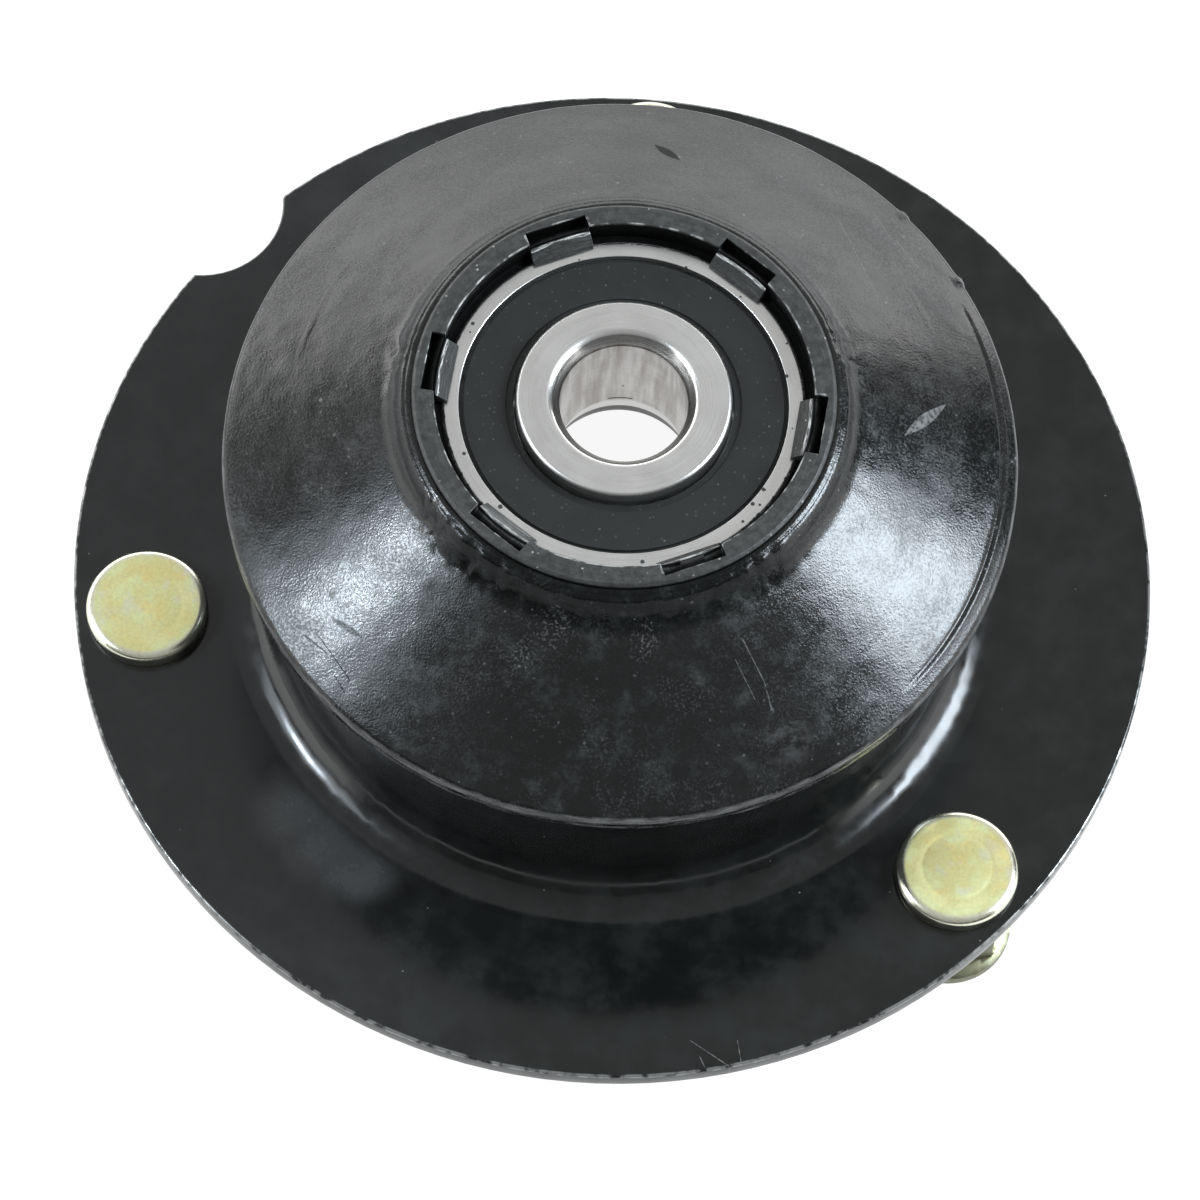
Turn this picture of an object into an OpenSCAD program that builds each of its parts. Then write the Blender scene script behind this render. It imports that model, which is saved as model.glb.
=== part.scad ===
// Front strut mount, shown strut side up. Millimetres, +Z up, bearing axis on Z, stud tips at Z = 0.
// A pressed plate carries a bonded rubber cone, and a sealed ball bearing is staked into the cone's cup.

/* [Mounting plate] */
// Outside diameter of the plate
plate_d = 124.6; // [116:0.2:136]
// Thickness of the plate's sheet
plate_t = 2.5; // [2:0.1:3]
// Width of the flat flange, from the plate's edge to the root fillet
flange_w = 17.3; // [16.4:0.1:17.7]
// Radius of the fillet between flange and collar
root_r = 5.5; // [5:0.1:6]
// Radius over which the collar turns inward at its top
collar_bend_r = 4.5; // [3.6:0.1:5]
// Width of the collar's turned-in top, with its bend
collar_lap = 7.5; // [6.5:0.1:8.5]
// Direction of the rim notch, seen from above
notch_angle = 139; // [0:1:360]
// Radius of the round cut that makes the notch
notch_r = 9.6; // [8:0.1:11]
// Distance of that cut's centre outside the plate's edge
notch_offset = 5.7; // [4.7:0.1:6.7]

/* [Studs and nuts] */
// Distance of the studs' axes inside the plate's edge
stud_inset = 8.3; // [7.7:0.1:8.9]
// Angle between the notch and each of its two neighbour studs
stud_spread = 50.5; // [45:0.5:60]
// Thread diameter of the studs
stud_d = 8; // [7:0.1:8.4]
// Length of stud that stands out of the plate's tower face
stud_reach = 22; // [20:0.5:30]
// Diameter of the pressed shank inside the plate
shank_d = 8.6; // [8.5:0.1:9.4]
// Diameter of the stud's round head
head_d = 14; // [13:0.1:15]
// Height of the head above the flange
head_h = 2.2; // [1.8:0.1:3]
// Rounding of the head's upper edge
head_round = 1.3; // [0.6:0.1:1.6]
// Width across the flats of the nuts
nut_flats = 12; // [11.6:0.1:12.6]
// Diameter of the nuts' round flange
nut_flange_d = 15; // [14.8:0.1:16.4]
// Thickness of that flange at its edge
nut_flange_t = 1.4; // [1:0.1:2]
// Whole height of a nut
nut_h = 8; // [7:0.1:9]
// Height of a nut's flange face above the stud tip
nut_z = 9; // [7:0.1:9.6]

/* [Rubber cone] */
// How far the cone's lip stands out over the collar
lip_overhang = 4.6; // [4.1:0.1:5.5]
// How far below the housing's rim the cone would meet the neck
shoulder_drop = 3.54; // [3.3:0.02:3.8]
// Thickness of the lip
lip_t = 2.4; // [2:0.1:2.8]
// Rounding of the lip's upper edge
lip_round = 1; // [0.6:0.1:1.2]
// Slope of the cone against the flange
cone_angle = 30; // [29.4:0.1:30.6]
// Width of the rubber neck round the bearing housing
neck_w = 1.4; // [1.2:0.1:1.6]
// How far the neck ends below the housing's rim
neck_drop = 0.8; // [0.6:0.1:1.2]
// Fillet between neck and cone
neck_fillet = 4; // [3:0.1:4.2]
// Thickness of the rubber lining inside the collar
lining_t = 1.8; // [1.2:0.1:2.2]
// Height above the flange at which the lining ends
lining_h = 7; // [6.5:0.1:9]
// Thickness of the rubber under the collar's turned-in top
under_t = 2.8; // [2.4:0.1:3.2]
// Rubber between the load skirt and the collar's top, measured upright
load_t = 3.88; // [3.4:0.02:4.4]

/* [Bearing housing] */
// Wall thickness of the cup that holds the bearing
housing_wall = 3.2; // [3:0.1:3.6]
// Thickness of the ledge under the bearing
ledge_t = 3; // [2.6:0.1:3.4]
// Width of that ledge, under the outer ring
ledge_w = 3.5; // [2.8:0.1:4.4]
// Height of the rim above the bearing's outer ring
rim_h = 2.6; // [2.4:0.1:3]
// Radial clearance between the rim and the outer ring
rim_gap = 0.7; // [0.4:0.1:0.8]
// Distance of the load skirt's edge inside the cone's lip
skirt_inset = 8.1; // [7:0.1:10]
// Thickness of the load skirt, measured upright
skirt_t = 2.2; // [1.8:0.1:2.6]
// Rubber above the skirt, measured upright
skirt_cover = 3.8; // [3.4:0.1:4.4]
// Direction of the first stake, seen from above
stake_angle = 53.4; // [0:0.2:60]
// Tangential width of a stake
stake_w = 7; // [5:0.1:8]
// How far a stake's slot reaches into the rim, from the outer ring
slot_reach = 1.9; // [1.6:0.1:2]
// How far a stake laps over the outer ring
stake_lap = 1.1; // [0.8:0.1:1.3]
// How far the one stake that was struck short laps over it
short_lap = 0.7; // [0.4:0.1:0.8]

/* [Bearing] */
// Diameter of the rod bore
bore_d = 14; // [12.4:0.1:15.6]
// Thickness of the inner ring, from the bore to the edge of its end faces
inner_wall = 4.8; // [4.4:0.1:5.4]
// Distance of the ball circle outside that edge
face_inset = 3.1; // [3:0.1:3.4]
// Distance of the ball circle inside the bearing's outside
pitch_inset = 5.1; // [5:0.01:5.2]
// Width of the outer ring
bearing_w = 12; // [12:0.1:12.4]
// Height of the outer ring's upper face above the flange
bearing_h = 43.4; // [43.2:0.1:43.6]
// How far the inner ring stands proud of the outer ring
inner_proud = 1.4; // [1:0.1:2]
// Distance of the inner ring's lands, beside the groove, inside the ball circle
land_inset = 2.2; // [2:0.1:2.4]
// Length of the inner ring
inner_len = 20.3; // [18:0.1:22]
// Length of the flared lead-in at the tower end of the bore
lead_in_len = 5.9; // [4:0.1:6.5]
// Widening of the bore at the end of the lead-in
lead_in_w = 1.4; // [1:0.1:1.6]
// Width of the bore's chamfer at the strut end
bore_chamfer_w = 1.1; // [0.8:0.1:1.4]
// Depth of that chamfer
bore_chamfer_d = 1.5; // [1:0.1:2]
// Thickness of the outer ring at its lands
outer_wall = 3; // [2.8:0.1:3.2]
// Ball diameter
ball_d = 6.747; // [6.35:0.001:6.747]
// Running clearance between a ball and each ring
ball_clearance = 0.03; // [0.02:0.01:0.06]

/* [Seals] */
// Distance of a seal's edge inside the bearing's outside
seal_inset = 2; // [1.8:0.1:2.2]
// Thickness of a seal
seal_t = 0.9; // [0.7:0.1:1]
// Depth of a seal's outer face below the ring face
seal_recess = 0.35; // [0.2:0.05:0.4]
// Width of the clamped edge that shows as a dark line
seal_edge_w = 0.5; // [0.3:0.1:0.7]
// Gap between a seal's lip and the turning inner ring
seal_gap = 0.3; // [0.3:0.05:0.45]
// Width of that lip
seal_lip_w = 0.8; // [0.5:0.1:1]
// How far the lip lies below the seal's face
seal_lip_drop = 0.25; // [0.1:0.05:0.35]

/* [Cage] */
// Thickness of the cage's strip
cage_t = 0.6; // [0.4:0.1:0.7]
// Radial width of the cage's strip
cage_w = 2.6; // [2.2:0.1:2.8]
// Clearance between a ball and its pocket
pocket_gap = 0.15; // [0.1:0.01:0.2]
// Diameter of the cage rivets
rivet_d = 1.2; // [0.8:0.1:1.3]
// Diameter of the rivet heads
rivet_head_d = 2; // [1.6:0.1:2.2]
// Height of the rivet heads
rivet_head_h = 0.5; // [0.3:0.1:0.6]

/* [Hidden] */
$fn = 96;

STEEL = [0.72, 0.72, 0.71];
BLACK_STEEL = [0.19, 0.19, 0.20];
BLACK_RUBBER = [0.10, 0.10, 0.11];
SEAL_GREY = [0.23, 0.25, 0.25];
YELLOW_ZINC = [0.78, 0.72, 0.42];

// cutters run past the faces they cut by this much
past = 1;
plate_r = plate_d / 2;
flange_z = stud_reach + plate_t;
flange_inner_r = plate_r - flange_w;
notch_centre_r = plate_r + notch_offset;
collar_r = flange_inner_r - root_r;
collar_inner_r = collar_r - plate_t;
collar_hole_r = collar_r - collar_lap;
lip_r = collar_r + lip_overhang;
skirt_r = lip_r - skirt_inset;

stud_circle_r = plate_r - stud_inset;
stud_angles = [notch_angle - stud_spread, notch_angle + stud_spread, notch_angle + 180];
stud_r = stud_d / 2;
stud_tip_chamfer = 0.8;
nut_bevel = 0.8;

ball_count = 8;
ball_r = ball_d / 2;
bore_r = bore_d / 2;
inner_face_r = bore_r + inner_wall;
pitch_r = inner_face_r + face_inset;
inner_land_r = pitch_r - land_inset;
bearing_r = pitch_r + pitch_inset;
outer_land_r = bearing_r - outer_wall;
seal_r = bearing_r - seal_inset;
ring_top_z = flange_z + bearing_h;
ring_bottom_z = ring_top_z - bearing_w;
bearing_mid_z = ring_top_z - bearing_w / 2;
ring_chamfer = 0.4;
inner_top_z = ring_top_z + inner_proud;
inner_bottom_z = inner_top_z - inner_len;
inner_chamfer = 0.3;
inner_land_w = bearing_w - 2 * (seal_recess + seal_t) - 2 * seal_gap;
// a ball groove is a little wider than its ball
groove_ratio = 1.04;
groove_r = ball_r * groove_ratio;
outer_groove_centre_r = pitch_r + ball_r + ball_clearance - groove_r;
inner_groove_centre_r = pitch_r - ball_r - ball_clearance + groove_r;

housing_r = bearing_r + housing_wall;
rim_z = ring_top_z + rim_h;
rim_chamfer = 0.4;
ledge_z = ring_bottom_z - ledge_t;
ledge_hole_r = bearing_r - ledge_w;
stake_wall_r = bearing_r + slot_reach;
stake_nose_r = bearing_r - stake_lap;
short_nose_r = bearing_r - short_lap;
stake_count = 6;
short_stake = 4;
stake_step = 0.3;
stake_root_r = bearing_r + stake_step;
stake_nose_t = 0.4;
stake_ridge_r = stake_root_r;
stake_ridge_h = 1.7;
slot_h = 0.7;
stake_bite = 0.8;
short_web_w = 2.6;

cone_rise = tan(cone_angle);
neck_r = housing_r + neck_w;
neck_z = rim_z - neck_drop;
lip_z = rim_z - shoulder_drop - (lip_r - neck_r) * cone_rise;
cage_in_r = pitch_r - cage_w / 2;
cage_out_r = pitch_r + cage_w / 2;

// height of the cone's outside at a distance from the axis
function cone_z(r) = lip_z + (lip_r - r) * cone_rise;
skirt_under_z = cone_z(skirt_r) - skirt_cover - skirt_t;
collar_z = skirt_under_z - load_t;

// a disc in a section drawn as radius and height
module disc_at(r, z, radius) {
    translate([r, z]) circle(r = radius);
}

// a plain rectangle in such a section
module band(r0, r1, z0, z1) {
    translate([r0, z0]) square([r1 - r0, z1 - z0]);
}

module plate_section() {
    // flat flange
    band(flange_inner_r, plate_r, stud_reach, flange_z);
    // root fillet, a quarter bend of the sheet from the flange up into the collar
    intersection() {
        difference() {
            disc_at(flange_inner_r, flange_z + root_r, root_r + plate_t);
            disc_at(flange_inner_r, flange_z + root_r, root_r);
        }
        band(collar_inner_r - past, flange_inner_r, stud_reach - past, flange_z + root_r);
    }
    // collar wall
    band(collar_inner_r, collar_r, flange_z + root_r, collar_z - collar_bend_r);
    // bend at the top of the collar
    intersection() {
        difference() {
            disc_at(collar_r - collar_bend_r, collar_z - collar_bend_r, collar_bend_r);
            disc_at(collar_r - collar_bend_r, collar_z - collar_bend_r, collar_bend_r - plate_t);
        }
        band(collar_r - collar_bend_r, collar_r + past, collar_z - collar_bend_r, collar_z + past);
    }
    // turned-in top that the rubber grips on both sides
    band(collar_hole_r, collar_r - collar_bend_r, collar_z - plate_t, collar_z);
}

module mounting_plate() {
    color(BLACK_STEEL)
    difference() {
        rotate_extrude() plate_section();
        // notch that marks the fitting direction
        rotate([0, 0, notch_angle])
        translate([notch_centre_r, 0, stud_reach - past])
        cylinder(r = notch_r, h = plate_t + 2 * past);
        // holes for the pressed studs
        for (a = stud_angles) {
            rotate([0, 0, a])
            translate([stud_circle_r, 0, stud_reach - past])
            cylinder(d = shank_d, h = plate_t + 2 * past);
        }
    }
}

module stud_section() {
    edge_r = head_d / 2 - head_round;
    edge_z = flange_z + head_h - head_round;
    // threaded length with its tip chamfer
    polygon([
        [0, 0], [stud_r - stud_tip_chamfer, 0], [stud_r, stud_tip_chamfer],
        [stud_r, stud_reach], [0, stud_reach]
    ]);
    // pressed shank in the plate
    band(0, shank_d / 2, stud_reach, flange_z);
    // head with its rounded upper edge
    band(0, head_d / 2, flange_z, edge_z);
    band(0, edge_r, flange_z, flange_z + head_h);
    intersection() {
        disc_at(edge_r, edge_z, head_round);
        band(edge_r, head_d / 2, edge_z, edge_z + head_round);
    }
}

module stud(index) {
    color(YELLOW_ZINC)
    rotate([0, 0, stud_angles[index]])
    translate([stud_circle_r, 0, 0])
    rotate_extrude() stud_section();
}

module nut_body_section() {
    flange_r = nut_flange_d / 2;
    top_r = nut_flats / 2;
    hex_r = nut_flats / 2 / cos(30);
    polygon([
        [stud_r, 0], [flange_r, 0], [flange_r, nut_flange_t], [hex_r, nut_flange_t + nut_bevel],
        [hex_r, nut_h - nut_bevel], [top_r, nut_h], [stud_r, nut_h]
    ]);
}

module nut_flange_section() {
    flange_r = nut_flange_d / 2;
    polygon([
        [stud_r, 0], [flange_r, 0], [flange_r, nut_flange_t],
        [nut_flats / 2, nut_flange_t + nut_bevel], [stud_r, nut_flange_t + nut_bevel]
    ]);
}

module nut(index) {
    color(YELLOW_ZINC)
    rotate([0, 0, stud_angles[index]])
    translate([stud_circle_r, 0, nut_z]) {
        rotate_extrude() nut_flange_section();
        intersection() {
            rotate_extrude() nut_body_section();
            cylinder(d = nut_flats / cos(30), h = nut_h, $fn = 6);
        }
    }
}

module housing_section() {
    difference() {
        union() {
            // cup wall and the ledge under the bearing
            band(bearing_r, housing_r, ledge_z, rim_z - rim_chamfer);
            band(bearing_r, housing_r - rim_chamfer, rim_z - rim_chamfer, rim_z);
            polygon([
                [housing_r - rim_chamfer, rim_z - rim_chamfer], [housing_r, rim_z - rim_chamfer],
                [housing_r - rim_chamfer, rim_z]
            ]);
            band(ledge_hole_r, bearing_r, ledge_z, ring_bottom_z);
            // skirt that follows the cone inside the rubber and carries the load
            polygon([
                [housing_r - housing_wall / 2, cone_z(housing_r - housing_wall / 2) - skirt_cover],
                [skirt_r, cone_z(skirt_r) - skirt_cover],
                [skirt_r, skirt_under_z],
                [housing_r - housing_wall / 2, cone_z(housing_r - housing_wall / 2) - skirt_cover - skirt_t]
            ]);
        }
        // the rim stands clear of the outer ring
        band(bearing_r - past, bearing_r + rim_gap, ring_top_z - ring_chamfer, rim_z + past);
    }
}

// a flat piece of the rim's section, laid across a stake's width
module across(width) {
    rotate([90, 0, 0])
    translate([0, 0, -width / 2])
    linear_extrude(height = width) children();
}

// metal driven inward over the outer ring, with the ridge that the punch leaves
module stake_lug(nose_r) {
    across(stake_w)
    polygon([
        [nose_r, ring_top_z], [nose_r, ring_top_z + stake_nose_t],
        [stake_ridge_r, ring_top_z + stake_ridge_h], [stake_wall_r, ring_top_z + slot_h],
        [stake_wall_r, ring_top_z - stake_bite], [stake_root_r, ring_top_z - stake_bite],
        [stake_root_r, ring_top_z]
    ]);
}

module stake_slot() {
    translate([bearing_r - past, -stake_w / 2, ring_top_z + slot_h])
    cube([stake_wall_r - bearing_r + past, stake_w, rim_h]);
}

// bridge left standing in the slot of the stake that was struck short
module short_web() {
    across(short_web_w)
    polygon([
        [bearing_r + rim_gap, ring_top_z], [bearing_r + rim_gap, rim_z - rim_chamfer],
        [stake_wall_r + rim_chamfer, rim_z - rim_chamfer], [stake_wall_r + rim_chamfer, ring_top_z]
    ]);
}

module bearing_housing() {
    color(BLACK_STEEL) {
        difference() {
            rotate_extrude() housing_section();
            for (i = [0 : stake_count - 1]) {
                rotate([0, 0, stake_angle + i * 360 / stake_count]) stake_slot();
            }
        }
        for (i = [0 : stake_count - 1]) {
            rotate([0, 0, stake_angle + i * 360 / stake_count])
            stake_lug(i == short_stake ? short_nose_r : stake_nose_r);
        }
        rotate([0, 0, stake_angle + short_stake * 360 / stake_count]) short_web();
    }
}

// the corner between cone and lip that the lip's rounding takes off
module lip_corner() {
    edge_r = lip_r - lip_round;
    edge_z = lip_z + lip_round * (cone_rise - 1 / cos(cone_angle));
    difference() {
        polygon([
            [edge_r, edge_z], [lip_r + past, edge_z], [lip_r + past, lip_z + past],
            [edge_r + lip_round * sin(cone_angle), lip_z + past],
            [edge_r + lip_round * sin(cone_angle), edge_z + lip_round * cos(cone_angle)]
        ]);
        disc_at(edge_r, edge_z, lip_round);
    }
}

// outside of the rubber: neck, cone, lip, seat on the collar, lining of the collar, tower side
module rubber_outline() {
    corner_z = cone_z(neck_r);
    reach = neck_fillet * tan((90 - cone_angle) / 2);
    seat_z = collar_z - collar_bend_r;
    mid_wall_r = collar_r - plate_t / 2;
    lining_r = collar_inner_r - lining_t;
    lining_z = flange_z + lining_h;
    under_z = collar_z - plate_t - under_t;
    difference() {
        polygon([
            [housing_r, ledge_z], [housing_r, neck_z], [neck_r, neck_z], [neck_r, corner_z + reach],
            [neck_r + reach * cos(cone_angle), corner_z - reach * sin(cone_angle)],
            [lip_r, lip_z], [lip_r, lip_z - lip_t], [collar_r, seat_z], [mid_wall_r, seat_z],
            [mid_wall_r, lining_z], [lining_r, lining_z], [lining_r, under_z - lining_t],
            [collar_hole_r, under_z]
        ]);
        disc_at(neck_r + neck_fillet, corner_z + reach, neck_fillet);
        lip_corner();
    }
}

module rubber_isolator() {
    color(BLACK_RUBBER)
    rotate_extrude()
    difference() {
        rubber_outline();
        housing_section();
        plate_section();
    }
}

module outer_ring_section() {
    seat = seal_recess + seal_t;
    difference() {
        polygon([
            [outer_land_r, ring_bottom_z], [bearing_r - ring_chamfer, ring_bottom_z],
            [bearing_r, ring_bottom_z + ring_chamfer], [bearing_r, ring_top_z - ring_chamfer],
            [bearing_r - ring_chamfer, ring_top_z], [outer_land_r, ring_top_z]
        ]);
        disc_at(outer_groove_centre_r, bearing_mid_z, groove_r);
        band(outer_land_r - past, seal_r, ring_top_z - seat, ring_top_z + past);
        band(outer_land_r - past, seal_r, ring_bottom_z - past, ring_bottom_z + seat);
    }
}

module bearing_outer_ring() {
    color(STEEL)
    rotate_extrude() outer_ring_section();
}

module inner_ring_section() {
    difference() {
        union() {
            polygon([
                [bore_r + lead_in_w, inner_bottom_z], [inner_face_r - inner_chamfer, inner_bottom_z],
                [inner_face_r, inner_bottom_z + inner_chamfer], [inner_face_r, inner_top_z - inner_chamfer],
                [inner_face_r - inner_chamfer, inner_top_z], [bore_r + bore_chamfer_w, inner_top_z],
                [bore_r, inner_top_z - bore_chamfer_d], [bore_r, inner_bottom_z + lead_in_len]
            ]);
            band(
                inner_face_r - inner_chamfer, inner_land_r,
                bearing_mid_z - inner_land_w / 2, bearing_mid_z + inner_land_w / 2
            );
        }
        disc_at(inner_groove_centre_r, bearing_mid_z, groove_r);
    }
}

module bearing_inner_ring() {
    color(STEEL)
    rotate_extrude() inner_ring_section();
}

// a seal drawn for the strut face, with its edge sunk where the ring grips it
module seal_section() {
    top_z = ring_top_z - seal_recess;
    lip_edge_r = inner_face_r + seal_gap;
    difference() {
        band(lip_edge_r, seal_r, top_z - seal_t, top_z);
        band(seal_r - seal_edge_w, seal_r + past, top_z - seal_t / 2, top_z + past);
        band(lip_edge_r - past, lip_edge_r + seal_lip_w, top_z - seal_lip_drop, top_z + past);
    }
}

module upper_seal() {
    color(SEAL_GREY)
    rotate_extrude() seal_section();
}

module lower_seal() {
    color(SEAL_GREY)
    translate([0, 0, 2 * bearing_mid_z])
    mirror([0, 0, 1])
    rotate_extrude() seal_section();
}

module ball_places() {
    for (i = [0 : ball_count - 1]) {
        rotate([0, 0, i * 360 / ball_count])
        translate([pitch_r, 0, 0]) children();
    }
}

module rivet_places() {
    rotate([0, 0, 180 / ball_count]) ball_places() children();
}

// one stamped strip, drawn for the strut side with the joint face at zero
module cage_half() {
    pocket_r = ball_r + pocket_gap;
    difference() {
        intersection() {
            difference() {
                cylinder(r = cage_out_r, h = pocket_r + cage_t);
                translate([0, 0, -past]) cylinder(r = cage_in_r, h = pocket_r + cage_t + 2 * past);
            }
            union() {
                cylinder(r = cage_out_r + past, h = cage_t);
                ball_places() sphere(r = pocket_r + cage_t);
            }
        }
        ball_places() sphere(r = pocket_r);
        rivet_places() translate([0, 0, -past]) cylinder(d = rivet_d, h = cage_t + 2 * past);
    }
}

module cage_upper_half() {
    color(STEEL)
    translate([0, 0, bearing_mid_z]) cage_half();
}

module cage_lower_half() {
    color(STEEL)
    translate([0, 0, bearing_mid_z])
    mirror([0, 0, 1]) cage_half();
}

module cage_rivets() {
    color(STEEL)
    translate([0, 0, bearing_mid_z])
    rivet_places() {
        translate([0, 0, -cage_t]) cylinder(d = rivet_d, h = 2 * cage_t);
        translate([0, 0, cage_t]) cylinder(d = rivet_head_d, h = rivet_head_h);
        translate([0, 0, -cage_t - rivet_head_h]) cylinder(d = rivet_head_d, h = rivet_head_h);
    }
}

module ball(index) {
    color(STEEL)
    rotate([0, 0, index * 360 / ball_count])
    translate([pitch_r, 0, bearing_mid_z])
    sphere(d = ball_d);
}

module stud_1() { stud(0); }
module stud_2() { stud(1); }
module stud_3() { stud(2); }
module nut_1() { nut(0); }
module nut_2() { nut(1); }
module nut_3() { nut(2); }
module ball_1() { ball(0); }
module ball_2() { ball(1); }
module ball_3() { ball(2); }
module ball_4() { ball(3); }
module ball_5() { ball(4); }
module ball_6() { ball(5); }
module ball_7() { ball(6); }
module ball_8() { ball(7); }

mounting_plate();
stud_1();
stud_2();
stud_3();
nut_1();
nut_2();
nut_3();
rubber_isolator();
bearing_housing();
bearing_outer_ring();
bearing_inner_ring();
upper_seal();
lower_seal();
cage_upper_half();
cage_lower_half();
cage_rivets();
ball_1();
ball_2();
ball_3();
ball_4();
ball_5();
ball_6();
ball_7();
ball_8();
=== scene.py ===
"""Looks of a front strut mount: plate, rubber cone, staked bearing, studs and nuts."""

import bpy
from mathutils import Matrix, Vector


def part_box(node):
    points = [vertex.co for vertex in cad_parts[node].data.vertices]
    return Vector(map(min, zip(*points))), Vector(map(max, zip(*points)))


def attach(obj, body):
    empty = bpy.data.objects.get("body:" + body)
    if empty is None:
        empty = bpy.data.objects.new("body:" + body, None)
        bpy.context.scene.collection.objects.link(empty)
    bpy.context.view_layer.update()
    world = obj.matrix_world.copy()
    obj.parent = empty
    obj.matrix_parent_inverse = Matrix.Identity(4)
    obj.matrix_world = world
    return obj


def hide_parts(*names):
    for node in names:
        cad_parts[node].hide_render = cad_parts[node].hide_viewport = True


bl_info = {
    "name": "Strut Mount",
    "version": (1, 0, 0),
    "blender": (4, 5, 0),
    "location": "View3D > Sidebar > Strut Mount",
    "description": "Builds the visible pieces and finishes of a front strut mount",
    "category": "Add Mesh",
}

import math

import bmesh
import bpy
from bpy.props import FloatProperty, FloatVectorProperty, IntProperty, PointerProperty
from mathutils import Matrix, Vector, noise

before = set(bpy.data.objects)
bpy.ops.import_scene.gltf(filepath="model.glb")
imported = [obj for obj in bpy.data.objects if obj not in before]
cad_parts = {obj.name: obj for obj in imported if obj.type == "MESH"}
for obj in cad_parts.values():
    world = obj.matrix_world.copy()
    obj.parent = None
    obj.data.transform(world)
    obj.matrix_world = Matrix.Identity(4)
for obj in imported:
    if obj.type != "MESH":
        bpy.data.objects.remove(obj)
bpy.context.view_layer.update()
MM = 0.001
MOUNT, RING = "mount_body", "inner_ring"

PLATE_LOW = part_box("mounting_plate")[0]
RUBBER_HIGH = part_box("rubber_isolator")[1]
INNER_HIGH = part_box("bearing_inner_ring")[1]
FLANGE_TOP = 24.5 * MM
STUD_NODES = ("stud_1", "stud_2", "stud_3")
NUT_NODES = ("nut_1", "nut_2", "nut_3")
CAGE_NODES = ("cage_upper_half", "cage_lower_half", "cage_rivets")
BALL_NODES = tuple(f"ball_{k}" for k in range(1, 9))

# Colours of dirt and wear, and of painted shade and painted sheen

# Painted sheen: a light grey on the plate's paint, beside its left fillet highlight and towards its
# left
SHEEN_GREY = (0.13, 0.135, 0.14)
PALE_DUST = (0.3, 0.3, 0.29)
SEAL_DUST = (0.35, 0.35, 0.34)
# Painted shade: near black in the cup's gap and slots and on its rim's inner wall
SHADE_BLACK = (0.0015, 0.0015, 0.0015)
OIL_BROWN = (0.25, 0.221, 0.204)
# Grime in pits, and painted shade at the outer ring's edge by the gap and at the bore's lower end
GRIME_AND_SHADE = (0.012, 0.012, 0.011)
# Dark zinc grey mixed into the nuts' plating as painted shade of the plate
SHADE_ZINC_GREY = (0.10, 0.105, 0.085)
ZINC_STAIN = (0.45, 0.42, 0.22)

# Marks in plan, in millimetres: a stroke has start, end, half width and at times a swelling,
# a patch has its place and reach

# Places of painted sheen on the plate, beside its left fillet highlight
PLATE_SHEEN_SPOTS = ((-34.0, -32.5), (-31.0, -36.0), (-27.0, -38.5))
PLATE_SCRATCHES = (
    ((11.6, -57.3), (16.6, -60.4), 0.07),
    ((16.9, -57.0), (17.4, -59.4), 0.06),
    ((12.8, -59.2), (13.4, -60.4), 0.06),
)
RUBBER_SCRATCHES = (
    ((14.3, -25.7), (16.9, -29.4), 0.09),
    ((16.9, -29.4), (17.9, -32.0), 0.09),
    ((13.6, -27.7), (16.0, -31.2), 0.06),
    ((31.0, 0.4), (35.5, 5.8), 0.1, 0.55),
    ((27.0, 30.5), (30.6, 24.5), 0.05),
    ((29.4, 27.2), (33.5, 22.2), 0.05),
    ((22.5, 29.0), (27.5, 17.5), 0.04),
)
RUBBER_NICKS = (
    ((-33.2, -25.1), (-30.6, -27.2), 0.12),
    ((-31.6, -25.4), (-27.9, -30.2), 0.10),
    ((-29.6, -29.6), (-28.4, -31.4), 0.12),
    ((1.8, 36.4), (4.7, 34.0), 0.10, 0.5),
)
RUBBER_GOUGE = ((-30.1, -23.8), (-27.0, -25.9), 0.3, 0.2)
RUBBER_DULL_SPOTS = (((-30.4, -21.1), 1.1), ((-19.6, -21.6), 2.2))
RUBBER_SCUFF = ((20.0, -34.5), 4.5)
DUST_DRIFTS = (
    ((-6.0, -26.3), 4.2),
    ((-9.5, -29.0), 3.4),
    ((3.5, -27.0), 3.2),
    ((17.0, -21.5), 3.0),
)
# Place and reach of the stake, lower left, whose tongue is made lighter with bare streaks
LIGHT_STAKE_SPOT = ((-12.2, -16.4), 4.2)


def length(name, description, default):
    """A size in metres that the sidebar shows with its unit."""
    return FloatProperty(
        name=name, description=description, default=default, unit="LENGTH", precision=5
    )


def share(name, description, default, top=1.0):
    """A plain number from nothing up to its top."""
    return FloatProperty(name=name, description=description, default=default, min=0.0, max=top)


def tint(name, description, default):
    """A linear colour."""
    return FloatVectorProperty(
        name=name, description=description, default=default, subtype="COLOR", min=0.0, max=1.0
    )


def count(name, description, default, least):
    """A whole number."""
    return IntProperty(name=name, description=description, default=default, min=least)


class PlateSettings(bpy.types.PropertyGroup):
    """Paint and edges of the pressed plate."""

    paint: tint("Paint", "Colour of the black paint", (0.0045, 0.0050, 0.0048))
    bare: tint("Bare edge", "Colour where the paint is worn off an edge", (0.33, 0.33, 0.32))
    roughness: share("Roughness", "How dull the paint is", 0.14)
    edge_round: length("Edge rounding", "Rounding of the plate's cut edges", 0.35 * MM)


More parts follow.
